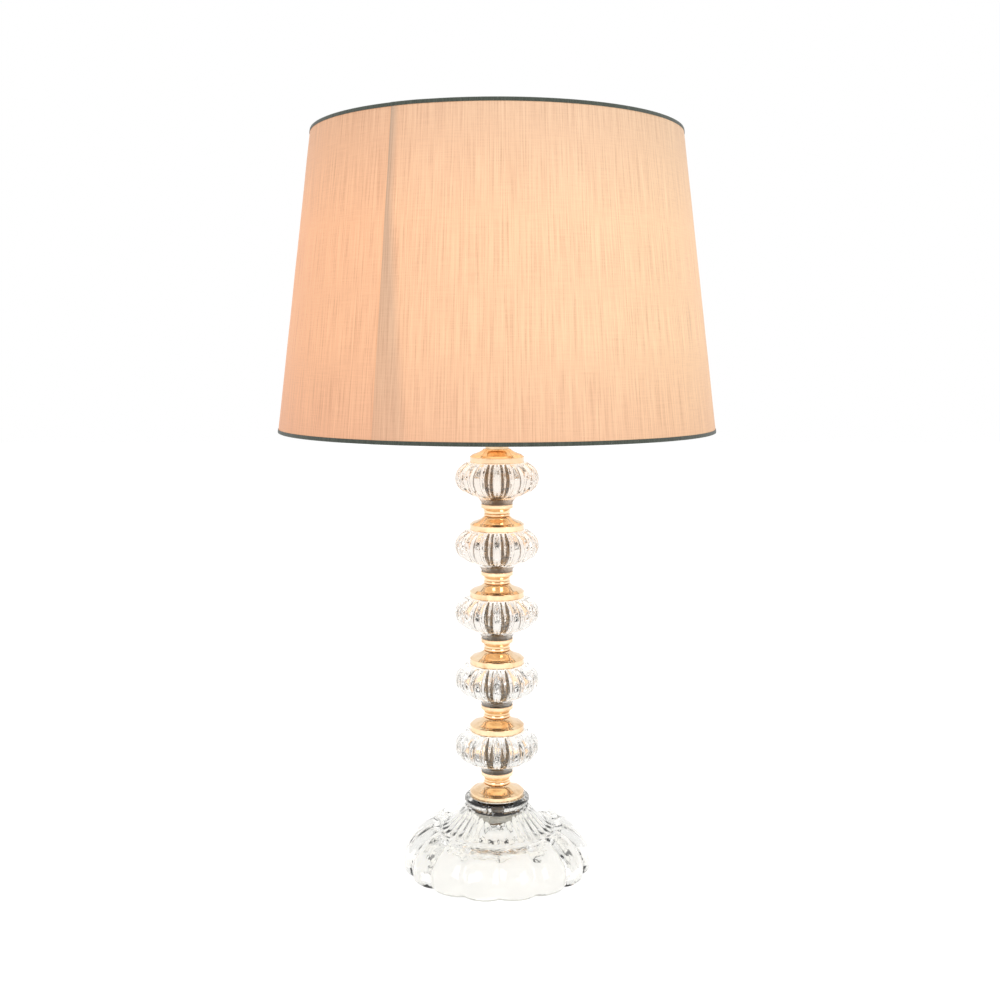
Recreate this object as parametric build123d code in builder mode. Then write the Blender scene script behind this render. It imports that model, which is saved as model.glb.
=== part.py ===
from build123d import *
from math import cos, radians, sin, sqrt
import os

# A candlestick table lamp: a pressed-glass foot, five ribbed glass beads held between brass
# bell caps on one threaded pipe, a screw-thread lampholder with its bulb, and a tapered drum shade.
# Millimetres, +Z up, the origin at the centre of the foot on the table, the front towards -Y.

os.makedirs("parts", exist_ok=True)

# Clearances
fixed_gap = 0.1  # between pieces clamped together
turning_gap = 0.3  # round a piece that turns or slides
thread_gap = 0.05  # between a thread and its nut, both drawn as plain cylinders

# Threaded pipe, M10 by 1
pipe_radius = 5.0
pipe_bore_radius = 4.0
pipe_below_nut = 4.0
pipe_hole_radius = pipe_radius + 0.3
glass_hole_radius = pipe_radius + 0.6

# Glass foot
lobe_count = 16
lobe_turn = -88.3  # direction of the front lobe's crest, in degrees
foot_radius = 65.8
foot_widest_height = 6.0
foot_edge_round = 1.5
lobe_groove = 3.4
lobe_groove_fade = 0.55  # share of the groove lost between the table and the crown
crown_radius = 43.0
crown_rise = 23.4
skirt_exponent = 1.6  # between a straight bevel (1) and a quarter circle (2)
valley_height = 26.0
valley_radius = 39.6
valley_width = 5.4
valley_step = 0.15  # between the valley's outer slope and the crown's last section
mould_ring_radius = 0.7
cone_groove = 0.8
cone_sink = 2.0  # how deep the cone starts in the glass under the valley
cone_curve = 1.15  # 1 is a straight cone, more is a hollow one
collar_radius = 22.9
collar_root_radius = 21.3
collar_root_height = 43.4
collar_height = 50.0
collar_lip = 1.1
collar_roll = 1.76  # how far the rolled edge goes in over the top
seat_height = 48.0
boss_thickness = 8.0
boss_radius = 17.0
foot_wall = 6.5
crest_wall = 7.9
cone_wall = 5.6

# Cord inlet at the back of the foot
inlet_height = 8.2
cord_hole_radius = 3.4
bushing_wall = 1.5
bushing_flange_radius = 6.6
bushing_flange_depth = 1.4
inlet_face_depth = 3.4  # flat cut into the back lobe for the flange

# Clamp under the foot
rubber_washer_radius = 15.0
rubber_washer_depth = 1.5
steel_washer_radius = 16.0
steel_washer_depth = 1.6
clamp_nut_flats = 20.0
clamp_nut_height = 6.0

# Glass beads
bead_count = 5
bead_radius = 29.4
bead_rise = 15.5  # half axis of the belly above its widest point
bead_drop = 14.3  # half axis of the belly below it
bead_fullness = 0.91  # power of the lower belly, which is fuller than an ellipse below 1
bead_top_angle = 45.2  # where the flat top cuts the belly, in degrees
bead_belly_angle = 58.0  # where the belly runs into the foot
bead_rib_count = 20
bead_rib_groove = 1.9
bead_rib_start = 0.15  # share of the groove left where the belly runs into the foot
bead_rib_growth = 1.4
bead_foot_radius = 10.6
bead_foot_height = 0.8
bead_foot_flare = 5.613

# Brass bell caps
bell_radius = 18.9
bell_rim_height = 4.0
bell_rim_round = 0.6
bell_shoulder_width = 1.4
bell_shoulder_rise = 1.5
bell_height = 9.3
bell_neck_radius = 9.6
bell_wall = 0.9

# Brass necks between a bell cap and the bead above it
ring_radius = 9.2
ring_height = 2.4
cup_root_radius = 9.0
cup_cove_height = 3.5
cup_radius = 11.2
cup_rim_height = 2.1
cup_lip_height = 0.6
cup_rim_round = 0.4
cup_cove_depth = 0.7  # how far the cove's top edge lies in from the rim

# Lampholder, screw thread of 27 mm
check_nut_radius = 8.0
check_nut_height = 3.0
holder_neck_radius = 8.2
holder_neck_height = 4.0
holder_radius = 20.8
holder_dome_height = 9.7
holder_cap_height = 21.2
holder_wall = 1.4
dome_waist = (0.8, 0.3)  # a point of the dome, as shares of its radius and height
dome_lining = (0.66, 0.45)  # the same inside it
pipe_above_neck = 1.7
core_radius = 19.2
core_height = 7.5
core_pocket = 2.0
shoulder_radius = 23.8
shoulder_height = 1.8
skirt_radius = 19.7
skirt_bore_radius = 16.5
skirt_height = 26.5
sleeve_bore_radius = 13.5
sleeve_wall = 0.4
sleeve_height = 24.5
contact_radius = 3.0
contact_height = 1.9
terminal_spacing = 20.0
terminal_head_radius = 2.6
terminal_head_height = 2.2
terminal_shank_radius = 1.5
terminal_shank_length = 4.0
grub_radius = 1.5
grub_length = 2.6

# Screwed ring that holds the shade down
shade_ring_radius = 26.0
shade_ring_height = 8.0
shade_ring_grips = 24
shade_ring_grip_depth = 0.8

# Bulb, 60 mm across and 105 mm long
bulb_radius = 30.0
bulb_length = 105.0
bulb_glass = 1.0
bulb_neck_radius = 12.3
bulb_cap_radius = 13.2
bulb_cap_wall = 0.5
bulb_cap_height = 23.0
bulb_insulator_height = 2.7
bulb_insulator_small_radius = 6.0
bulb_tip_radius = 4.5
bulb_tip_height = 1.8

# Shade
shade_bottom_height = 305.0
shade_height = 204.0
shade_bottom_radius = 149.6
shade_top_radius = 126.8
fabric_thickness = 0.45
liner_thickness = 0.4
wire_radius = 1.5
tape_width = 3.2
tape_thickness = 0.35
hub_margin = 2.5  # how far the hub stands out from under the shade ring
hub_thickness = 1.2
arm_count = 3
arm_radius = 1.4
first_arm_turn = 90.0

# Heights of the stack, from the foot up
bead_top_rise = bead_rise * sin(radians(bead_top_angle))
bead_belly_drop = bead_drop * sin(radians(bead_belly_angle)) ** bead_fullness
bead_height = bead_foot_height + bead_foot_flare + bead_belly_drop + bead_top_rise
cup_height = cup_cove_height + cup_rim_height
neck_height = ring_height + cup_height
pitch = bell_height + neck_height + bead_height
top_bell_height = seat_height + bead_count * pitch
check_nut_base = top_bell_height + bell_height
holder_base = check_nut_base + check_nut_height
shoulder_base = holder_base + holder_cap_height
shoulder_top = shoulder_base + shoulder_height
bulb_base = shoulder_base + contact_height + fixed_gap
boss_underside = seat_height - boss_thickness
nut_top = boss_underside - rubber_washer_depth - steel_washer_depth


def upright(height):
    """The vertical plane through the lamp's axis: x is the radius, y the height above the given one."""
    return Plane(origin=(0, 0, height), x_dir=(1, 0, 0), z_dir=(0, -1, 0))


def finish(piece, name):
    """Names a finished piece and writes it."""
    piece.part.label = name
    export_step(piece.part, f"parts/{name}.step")


def at(radius, angle):
    """The point at a radius and an angle in degrees about the axis."""
    return (radius * cos(radians(angle)), radius * sin(radians(angle)))


def lobed_outline(count, crest_radius, groove, turn=0.0):
    """A ring of equal rounded lobes that meet in grooves."""
    step = 360 / count
    for number in range(count):
        middle = turn + number * step
        ThreePointArc(
            at(crest_radius - groove, middle - step / 2),
            at(crest_radius, middle),
            at(crest_radius - groove, middle + step / 2),
        )


# ---- Glass foot --------------------------------------------------------------------------------


def skirt_point(angle, reach, rise):
    """A point of the skirt's outline, from its widest place at 0 to the crown at 90 degrees."""
    return (
        crown_radius + reach * cos(radians(angle)) ** (2 / skirt_exponent),
        foot_widest_height + rise * sin(radians(angle)) ** (2 / skirt_exponent),
    )


skirt_reach = foot_radius - crown_radius
skirt_angles = (0, 18, 34, 50, 65, 78)
skirt_sections = [(foot_radius - foot_edge_round, 0.0), (foot_radius - foot_edge_round / 5, 2.0)]
skirt_sections += [skirt_point(angle, skirt_reach, crown_rise) for angle in skirt_angles]
skirt_top_radius, skirt_top_height = skirt_sections[-1]

cone_base_height = valley_height - cone_sink
cone_rise = collar_root_height - cone_base_height
cone_sections = [
    (collar_root_radius + (valley_radius - collar_root_radius) * (1 - share) ** cone_curve, share)
    for share in (0.0, 0.25, 0.5, 0.75, 1.0)
]

cavity_radius = foot_radius - foot_wall
cavity_rise = crown_rise - crest_wall
cavity_top = foot_widest_height + cavity_rise
cavity_reach = cavity_radius - crown_radius
cavity_curve = [skirt_point(angle, cavity_reach, cavity_rise) for angle in (0, 25, 50, 75, 90)]
bushing_radius = cord_hole_radius + bushing_wall
inlet_face = foot_radius - inlet_face_depth

with BuildPart() as base_glass:
    for radius, height in skirt_sections:
        with BuildSketch(Plane.XY.offset(height)):
            with BuildLine():
                groove = lobe_groove * (1 - lobe_groove_fade * height / skirt_top_height)
                lobed_outline(lobe_count, radius, groove, lobe_turn)
            make_face()
    loft()
    # The valley between the skirt's crest and the cone
    with BuildSketch(upright(0)):
        with BuildLine():
            Polyline(
                (0, valley_height),
                (valley_radius, valley_height),
                (valley_radius + valley_width, skirt_top_height + valley_step),
                (valley_radius + valley_width, skirt_top_height + valley_width),
                (0, skirt_top_height + valley_width),
                close=True,
            )
        make_face()
    revolve(axis=Axis.Z, mode=Mode.SUBTRACT)
    # The cone
    for radius, share in cone_sections:
        with BuildSketch(Plane.XY.offset(cone_base_height + share * cone_rise)):
            with BuildLine():
                lobed_outline(lobe_count, radius, cone_groove * (1 - share), lobe_turn)
            make_face()
    loft()
    # The rolled collar, with the recess that the lowest bell cap sits in
    with BuildSketch(upright(0)):
        with BuildLine():
            Polyline(
                (collar_root_radius - collar_lip, collar_root_height - collar_lip),
                (0, collar_root_height - collar_lip),
                (0, seat_height),
                (bell_radius + turning_gap, seat_height),
                (bell_radius + turning_gap, collar_height - collar_lip / 2),
                (bell_radius + turning_gap + collar_lip / 2, collar_height),
                (collar_radius - collar_roll, collar_height),
            )
            ThreePointArc(
                (collar_radius - collar_roll, collar_height),
                (collar_radius, (collar_root_height + collar_height) / 2),
                (collar_root_radius - collar_lip, collar_root_height - collar_lip),
            )
        make_face()
    revolve(axis=Axis.Z)
    # The mould ring in the valley
    with BuildSketch(upright(0)):
        with Locations((valley_radius + mould_ring_radius / 2, valley_height)):
            Circle(mould_ring_radius)
    revolve(axis=Axis.Z)
    # The hollow underneath
    with BuildSketch(upright(0)):
        with BuildLine():
            Polyline((0, boss_underside), (0, 0), (cavity_radius, 0), cavity_curve[0])
            Spline(*cavity_curve, tangents=[(0, 1), (-1, 0)])
            Polyline(
                (crown_radius, cavity_top),
                (valley_radius - cone_wall, cavity_top),
                (boss_radius, boss_underside),
                (0, boss_underside),
            )
        make_face()
    revolve(axis=Axis.Z, mode=Mode.SUBTRACT)
    with BuildSketch(Plane.XY.offset(boss_underside)):
        Circle(glass_hole_radius)
    extrude(amount=boss_thickness, mode=Mode.SUBTRACT)
    # The cord inlet
    with BuildSketch(Plane.XZ.offset(-crown_radius)):
        with Locations((0, inlet_height)):
            Circle(bushing_radius + fixed_gap)
    extrude(amount=-(foot_radius - crown_radius), mode=Mode.SUBTRACT)
    with BuildSketch(Plane.XZ.offset(-inlet_face)):
        with Locations((0, inlet_height)):
            Circle(bushing_flange_radius + fixed_gap)
    extrude(amount=-foot_wall, mode=Mode.SUBTRACT)
finish(base_glass, "base_glass")

with BuildPart() as cord_inlet_bushing:
    with BuildSketch(Plane.XZ.offset(-inlet_face)):
        with Locations((0, inlet_height)):
            Circle(bushing_flange_radius)
    extrude(amount=-bushing_flange_depth)
    with BuildSketch(Plane.XZ.offset(-inlet_face)):
        with Locations((0, inlet_height)):
            Circle(bushing_radius)
    extrude(amount=inlet_face - cavity_radius)
    with BuildSketch(Plane.XZ.offset(-cavity_radius)):
        with Locations((0, inlet_height)):
            Circle(cord_hole_radius)
    extrude(amount=-(inlet_face + bushing_flange_depth - cavity_radius), mode=Mode.SUBTRACT)
    mouths = cord_inlet_bushing.edges().filter_by(GeomType.CIRCLE).group_by(Axis.Y)[-1]
    fillet(mouths.sort_by(SortBy.RADIUS)[-1], bushing_flange_depth / 2)
finish(cord_inlet_bushing, "cord_inlet_bushing")

# ---- Clamp under the foot ----------------------------------------------------------------------


def write_washer(name, top, depth, radius, hole_radius):
    """A flat round washer."""
    with BuildPart() as washer:
        with BuildSketch(Plane.XY.offset(top - depth)):
            Circle(radius)
            Circle(hole_radius, mode=Mode.SUBTRACT)
        extrude(amount=depth)
    finish(washer, name)


write_washer(
    "base_rubber_washer", boss_underside, rubber_washer_depth, rubber_washer_radius, pipe_hole_radius
)
write_washer(
    "base_steel_washer",
    boss_underside - rubber_washer_depth,
    steel_washer_depth,
    steel_washer_radius,
    pipe_hole_radius,
)

with BuildPart() as base_clamp_nut:
    with BuildSketch(Plane.XY.offset(nut_top - clamp_nut_height)):
        RegularPolygon(clamp_nut_flats / 2, 6, major_radius=False)
        Circle(pipe_radius + thread_gap, mode=Mode.SUBTRACT)
    extrude(amount=clamp_nut_height)
finish(base_clamp_nut, "base_clamp_nut")

pipe_base = nut_top - clamp_nut_height - pipe_below_nut
pipe_top = holder_base + holder_neck_height + pipe_above_neck

with BuildPart() as threaded_pipe:
    with BuildSketch(Plane.XY.offset(pipe_base)):
        Circle(pipe_radius)
        Circle(pipe_bore_radius, mode=Mode.SUBTRACT)
    extrude(amount=pipe_top - pipe_base)
    chamfer(threaded_pipe.edges().filter_by(GeomType.CIRCLE).group_by(SortBy.RADIUS)[-1], 0.4)
finish(threaded_pipe, "threaded_pipe")

# ---- Bell caps, necks and beads, from the foot up ----------------------------------------------


def write_bell_cap(name, seat):
    """A spun brass cap, hollow underneath: an upright rim, a shoulder and a cone up to its neck."""
    shoulder_radius = bell_radius - bell_rim_round - bell_shoulder_width
    shoulder_height = bell_rim_height + bell_shoulder_rise
    rim_middle = bell_rim_round * (1 - sqrt(0.5))
    with BuildPart() as bell_cap:
        with BuildSketch(upright(seat)):
            with BuildLine():
                Line((bell_radius - bell_wall, 0), (bell_radius, 0))
                Line((bell_radius, 0), (bell_radius, bell_rim_height - bell_rim_round))
                ThreePointArc(
                    (bell_radius, bell_rim_height - bell_rim_round),
                    (bell_radius - rim_middle, bell_rim_height - rim_middle),
                    (bell_radius - bell_rim_round, bell_rim_height),
                )
                Line((bell_radius - bell_rim_round, bell_rim_height), (shoulder_radius, shoulder_height))
                Spline(
                    (shoulder_radius, shoulder_height),
                    (bell_neck_radius, bell_height),
                    tangents=[(-1, 0.45), (-0.5, 1)],
                )
                Line((bell_neck_radius, bell_height), (pipe_hole_radius, bell_height))
                Line((pipe_hole_radius, bell_height), (pipe_hole_radius, bell_height - bell_wall))
                Line(
                    (pipe_hole_radius, bell_height - bell_wall),
                    (bell_neck_radius - bell_wall, bell_height - bell_wall),
                )
                Spline(
                    (bell_neck_radius - bell_wall, bell_height - bell_wall),
                    (shoulder_radius, shoulder_height - bell_wall),
                    tangents=[(0.5, -1), (1, -0.45)],
                )
                Polyline(
                    (shoulder_radius, shoulder_height - bell_wall),
                    (bell_radius - bell_wall, bell_rim_height - bell_wall),
                    (bell_radius - bell_wall, 0),
                )
            make_face()
        revolve(axis=Axis.Z)
    finish(bell_cap, name)


def write_neck_ring(name, seat):
    """A turned brass ring with a rounded edge."""
    edge_radius = ring_radius - ring_height / 4
    with BuildPart() as neck_ring:
        with BuildSketch(upright(seat)):
            with BuildLine():
                Polyline(
                    (edge_radius, 0),
                    (pipe_hole_radius, 0),
                    (pipe_hole_radius, ring_height),
                    (edge_radius, ring_height),
                )
                ThreePointArc(
                    (edge_radius, ring_height),
                    (ring_radius, ring_height / 2),
                    (edge_radius, 0),
                )
            make_face()
        revolve(axis=Axis.Z)
    finish(neck_ring, name)


def write_bead_cup(name, seat):
    """A turned brass cup: a cove below, an upright rim above, and a lip round the bead's foot."""
    lip_radius = bead_foot_radius + fixed_gap
    cove_radius = cup_radius - cup_cove_depth
    rim_top = cup_height + cup_lip_height
    with BuildPart() as bead_cup:
        with BuildSketch(upright(seat)):
            with BuildLine():
                Polyline(
                    (cup_root_radius, 0),
                    (pipe_hole_radius, 0),
                    (pipe_hole_radius, cup_height),
                    (lip_radius, cup_height),
                    (lip_radius, rim_top),
                    (cup_radius - cup_rim_round / 2, rim_top),
                    (cup_radius, rim_top - cup_rim_round),
                    (cup_radius, cup_cove_height + cup_rim_round),
                    (cup_radius - cup_rim_round, cup_cove_height),
                    (cove_radius, cup_cove_height),
                )
                Spline(
                    (cove_radius, cup_cove_height),
                    (cup_root_radius, 0),
                    tangents=[(-0.4, -1), (-0.1, -1)],
                )
            make_face()
        revolve(axis=Axis.Z)
    finish(bead_cup, name)


bead_belly_radius = bead_radius * cos(radians(bead_belly_angle)) ** bead_fullness
bead_belly_base = bead_foot_height + bead_foot_flare
bead_widest = bead_height - bead_top_rise


def bead_section(angle):
    """The belly's radius, its height and its rib groove, at an angle from the widest place."""
    power = 1 if angle > 0 else bead_fullness
    radius = bead_radius * cos(radians(angle)) ** power
    rise = bead_rise * sin(radians(angle)) if angle > 0 else -bead_drop * sin(radians(-angle)) ** power
    fade = (radius - bead_belly_radius) / (bead_radius - bead_belly_radius)
    groove = bead_rib_groove * min(1.0, bead_rib_start + bead_rib_growth * fade)
    return (radius, bead_widest + rise, groove)


bead_angles = (-bead_belly_angle, -48, -36, -24, -12, 0, 12, 24, 35, bead_top_angle)
bead_sections = [bead_section(angle) for angle in bead_angles]


def write_glass_bead(name, seat):
    """A pressed-glass bead with rounded ribs, a smooth foot and a hole for the pipe."""
    with BuildPart() as glass_bead:
        for radius, height, groove in bead_sections:
            with BuildSketch(Plane.XY.offset(seat + height)):
                with BuildLine():
                    lobed_outline(bead_rib_count, radius, groove)
                make_face()
        loft()
        with BuildSketch(upright(seat)):
            with BuildLine():
                Polyline(
                    (0, bead_belly_base),
                    (0, 0),
                    (bead_foot_radius, 0),
                    (bead_foot_radius, bead_foot_height),
                )
                Spline(
                    (bead_foot_radius, bead_foot_height),
                    (bead_belly_radius, bead_belly_base),
                    tangents=[(0.3, 1), (1, 0.5)],
                )
                Line((bead_belly_radius, bead_belly_base), (0, bead_belly_base))
            make_face()
        revolve(axis=Axis.Z)
        with BuildSketch(Plane.XY.offset(seat)):
            Circle(glass_hole_radius)
        extrude(amount=bead_height, mode=Mode.SUBTRACT)
    finish(glass_bead, name)


for number in range(1, bead_count + 1):
    level = seat_height + (number - 1) * pitch
    write_bell_cap(f"bell_cap_{number}", level)
    write_neck_ring(f"neck_ring_{number}", level + bell_height)
    write_bead_cup(f"bead_cup_{number}", level + bell_height + ring_height)
    write_glass_bead(f"glass_bead_{number}", level + bell_height + neck_height)
write_bell_cap(f"bell_cap_{bead_count + 1}", top_bell_height)

with BuildPart() as check_nut:
    with BuildSketch(Plane.XY.offset(check_nut_base)):
        RegularPolygon(check_nut_radius, 6)
        Circle(pipe_radius + thread_gap, mode=Mode.SUBTRACT)
    extrude(amount=check_nut_height)
finish(check_nut, "check_nut")

# ---- Lampholder --------------------------------------------------------------------------------

dome_top = holder_neck_height + holder_dome_height
core_base = holder_cap_height - core_height
ledge_width = holder_radius - holder_wall

with BuildPart() as lampholder_cap:
    with BuildSketch(upright(holder_base)):
        with BuildLine():
            Polyline(
                (holder_neck_radius, holder_neck_height),
                (holder_neck_radius, 0),
                (pipe_radius + thread_gap, 0),
                (pipe_radius + thread_gap, holder_neck_height + holder_wall),
                (holder_neck_radius - holder_wall, holder_neck_height + holder_wall),
            )
            ThreePointArc(
                (holder_neck_radius - holder_wall, holder_neck_height + holder_wall),
                (holder_radius * dome_lining[0], holder_neck_height + holder_dome_height * dome_lining[1]),
                (core_radius - holder_wall, core_base),
            )
            Polyline(
                (core_radius - holder_wall, core_base),
                (ledge_width, core_base),
                (ledge_width, holder_cap_height),
                (holder_radius, holder_cap_height),
                (holder_radius, dome_top),
            )
            ThreePointArc(
                (holder_radius, dome_top),
                (holder_radius * dome_waist[0], holder_neck_height + holder_dome_height * dome_waist[1]),
                (holder_neck_radius, holder_neck_height),
            )
        make_face()
    revolve(axis=Axis.Z)
    with BuildSketch(Plane.XZ.offset(-pipe_radius)):
        with Locations((0, holder_base + holder_neck_height / 2)):
            Circle(grub_radius + thread_gap)
    extrude(amount=-holder_neck_radius, mode=Mode.SUBTRACT)
finish(lampholder_cap, "lampholder_cap")

with BuildPart() as lampholder_grub_screw:
    with BuildSketch(Plane.XZ.offset(-(pipe_radius + thread_gap))):
        with Locations((0, holder_base + holder_neck_height / 2)):
            Circle(grub_radius)
    extrude(amount=-grub_length)
finish(lampholder_grub_screw, "lampholder_grub_screw")

with BuildPart() as lampholder_core:
    with BuildSketch(Plane.XY.offset(holder_base + core_base)):
        Circle(core_radius)
    extrude(amount=core_height)
    with BuildSketch(Plane.XY.offset(holder_base + core_base)):
        with GridLocations(terminal_spacing, 1, 2, 1):
            Circle(terminal_shank_radius + thread_gap)
    extrude(amount=terminal_shank_length, mode=Mode.SUBTRACT)
    with BuildSketch(Plane.XY.offset(holder_base + core_base)):
        with GridLocations(1, terminal_spacing, 1, 2):
            Circle(core_pocket)
    extrude(amount=core_height, mode=Mode.SUBTRACT)
finish(lampholder_core, "lampholder_core")

with BuildPart() as terminal_screws:
    with BuildSketch(Plane.XY.offset(holder_base + core_base)):
        with GridLocations(terminal_spacing, 1, 2, 1):
            Circle(terminal_shank_radius)
    extrude(amount=terminal_shank_length - fixed_gap)
    with BuildSketch(Plane.XY.offset(holder_base + core_base - terminal_head_height)):
        with GridLocations(terminal_spacing, 1, 2, 1):
            Circle(terminal_head_radius)
    extrude(amount=terminal_head_height)
finish(terminal_screws, "terminal_screws")

with BuildPart() as lampholder_skirt:
    with BuildSketch(upright(shoulder_base)):
        with BuildLine():
            Polyline(
                (sleeve_bore_radius + sleeve_wall + turning_gap, 0),
                (shoulder_radius, 0),
                (shoulder_radius, shoulder_height),
                (skirt_radius, shoulder_height),
                (skirt_radius, skirt_height),
                (skirt_bore_radius, skirt_height),
                (skirt_bore_radius, shoulder_height),
                (sleeve_bore_radius + sleeve_wall + turning_gap, shoulder_height),
                close=True,
            )
        make_face()
    revolve(axis=Axis.Z)
finish(lampholder_skirt, "lampholder_skirt")

with BuildPart() as thread_sleeve:
    with BuildSketch(Plane.XY.offset(shoulder_base)):
        Circle(sleeve_bore_radius + sleeve_wall)
        Circle(sleeve_bore_radius, mode=Mode.SUBTRACT)
    extrude(amount=sleeve_height)
finish(thread_sleeve, "thread_sleeve")

with BuildPart() as centre_contact:
    with BuildSketch(Plane.XY.offset(shoulder_base)):
        Circle(contact_radius)
    extrude(amount=contact_height)
    fillet(centre_contact.edges().filter_by(GeomType.CIRCLE).group_by(Axis.Z)[-1], contact_height / 3)
finish(centre_contact, "centre_contact")

# ---- Shade ring --------------------------------------------------------------------------------

hub_base = shoulder_top + fixed_gap
hub_hole_radius = skirt_radius + turning_gap
hub_radius = shade_ring_radius + hub_margin
arm_root_radius = shade_ring_radius + turning_gap * 2.5
shade_ring_base = hub_base + hub_thickness + fixed_gap

with BuildPart() as shade_ring:
    with BuildSketch(Plane.XY.offset(shade_ring_base)):
        with BuildLine():
            lobed_outline(shade_ring_grips, shade_ring_radius, shade_ring_grip_depth)
        make_face()
        Circle(skirt_radius + turning_gap, mode=Mode.SUBTRACT)
    extrude(amount=shade_ring_height)
finish(shade_ring, "shade_ring")

# ---- Bulb --------------------------------------------------------------------------------------

bulb_cap_base = bulb_base + bulb_tip_height + bulb_insulator_height
bulb_cap_top = bulb_cap_base + bulb_cap_height
bulb_top = bulb_base + bulb_length
bulb_centre = bulb_top - bulb_radius
neck_depth = bulb_cap_height / 3
shoulder_angle = 35  # below the bulb's widest place, where its ball runs into the neck


def bulb_outline(radius, neck_radius):
    """The glass from inside the screw cap up to its top, at one of its two surfaces."""
    Line((neck_radius, bulb_cap_top - neck_depth), (neck_radius, bulb_cap_top + fixed_gap))
    Spline(
        (neck_radius, bulb_cap_top + fixed_gap),
        (radius * cos(radians(shoulder_angle)), bulb_centre - radius * sin(radians(shoulder_angle))),
        tangents=[(0, 1), (sin(radians(shoulder_angle)), cos(radians(shoulder_angle)))],
    )
    ThreePointArc(
        (radius * cos(radians(shoulder_angle)), bulb_centre - radius * sin(radians(shoulder_angle))),
        (radius, bulb_centre),
        (0, bulb_centre + radius),
    )


with BuildPart() as bulb_glass_envelope:
    with BuildSketch(upright(0)):
        with BuildLine():
            bulb_outline(bulb_radius, bulb_neck_radius)
            bulb_outline(bulb_radius - bulb_glass, bulb_neck_radius - bulb_glass)
            Line((0, bulb_top), (0, bulb_top - bulb_glass))
            Line(
                (bulb_neck_radius, bulb_cap_top - neck_depth),
                (bulb_neck_radius - bulb_glass, bulb_cap_top - neck_depth),
            )
        make_face()
    revolve(axis=Axis.Z)
finish(bulb_glass_envelope, "bulb_envelope")

with BuildPart() as bulb_screw_cap:
    with BuildSketch(Plane.XY.offset(bulb_cap_base)):
        Circle(bulb_cap_radius)
    extrude(amount=bulb_cap_height)
    with BuildSketch(Plane.XY.offset(bulb_cap_base + bulb_cap_wall)):
        Circle(bulb_cap_radius - bulb_cap_wall)
    extrude(amount=bulb_cap_height, mode=Mode.SUBTRACT)
finish(bulb_screw_cap, "bulb_screw_cap")

with BuildPart() as bulb_insulator:
    with BuildSketch(upright(bulb_base + bulb_tip_height)):
        with BuildLine():
            Polyline(
                (0, 0),
                (bulb_insulator_small_radius, 0),
                (bulb_cap_radius - bulb_cap_wall, bulb_insulator_height),
                (0, bulb_insulator_height),
                close=True,
            )
        make_face()
    revolve(axis=Axis.Z)
finish(bulb_insulator, "bulb_insulator")

with BuildPart() as bulb_tip:
    with BuildSketch(Plane.XY.offset(bulb_base)):
        Circle(bulb_tip_radius)
    extrude(amount=bulb_tip_height)
    fillet(bulb_tip.edges().filter_by(GeomType.CIRCLE).group_by(Axis.Z)[0], bulb_tip_height / 2)
finish(bulb_tip, "bulb_tip")

# ---- Shade -------------------------------------------------------------------------------------

shade_slope = (shade_bottom_radius - shade_top_radius) / shade_height
shade_top_height = shade_bottom_height + shade_height
slant = sqrt(1 + shade_slope**2)
skin = fabric_thickness + liner_thickness
wire_offset = (wire_radius + fixed_gap) * slant
edge_margin = tape_thickness + fixed_gap


def cover_radius(height):
    """The radius of the fabric's outer face at a height."""
    return shade_bottom_radius - shade_slope * (height - shade_bottom_height)


def write_cone(name, outset, thickness):
    """A tapered sheet of the shade, set inwards from the fabric's outer face."""
    low = shade_bottom_height + edge_margin
    high = shade_top_height - edge_margin
    with BuildPart() as cone:
        with BuildSketch(upright(0)):
            with BuildLine():
                Polyline(
                    (cover_radius(low) - outset, low),
                    (cover_radius(high) - outset, high),
                    (cover_radius(high) - outset - thickness, high),
                    (cover_radius(low) - outset - thickness, low),
                    close=True,
                )
            make_face()
        revolve(axis=Axis.Z)
    finish(cone, name)


write_cone("shade_fabric", 0.0, fabric_thickness)
write_cone("shade_liner", fabric_thickness, liner_thickness)

bottom_wire_height = shade_bottom_height + edge_margin + wire_radius
top_wire_height = shade_top_height - edge_margin - wire_radius
bottom_wire_radius = cover_radius(bottom_wire_height) - skin - wire_offset
top_wire_radius = cover_radius(top_wire_height) - skin - wire_offset


def write_wire_ring(name, ring_at, height):
    """A ring of round steel wire."""
    with BuildPart() as wire_ring:
        with BuildSketch(upright(height)):
            with Locations((ring_at, 0)):
                Circle(wire_radius)
        revolve(axis=Axis.Z)
    finish(wire_ring, name)
    return wire_ring.part


write_wire_ring("shade_top_wire", top_wire_radius, top_wire_height)
bottom_wire = write_wire_ring("shade_bottom_wire", bottom_wire_radius, bottom_wire_height)

arm_root = Vector(arm_root_radius, 0, hub_base + hub_thickness - fixed_gap - arm_radius)
arm_end = Vector(bottom_wire_radius, 0, bottom_wire_height)


def arm_rods(radius):
    """Straight rods from the edge of the fitter's hub to the middle of the bottom wire."""
    with BuildPart() as rods:
        for number in range(arm_count):
            turn = first_arm_turn + number * 360 / arm_count
            root = arm_root.rotate(Axis.Z, turn)
            end = arm_end.rotate(Axis.Z, turn)
            with BuildSketch(Plane(origin=root, z_dir=end - root)):
                Circle(radius)
        extrude(amount=(arm_end - arm_root).length)
    return rods.part


fitter_arms = arm_rods(arm_radius)
tape_slots = arm_rods(arm_radius + fixed_gap)

with BuildPart() as shade_fitter:
    with BuildSketch(Plane.XY.offset(hub_base)):
        Circle(hub_radius)
        Circle(hub_hole_radius, mode=Mode.SUBTRACT)
    extrude(amount=hub_thickness)
    add(fitter_arms)
    add(bottom_wire, mode=Mode.SUBTRACT)
finish(shade_fitter, "shade_fitter")


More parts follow.
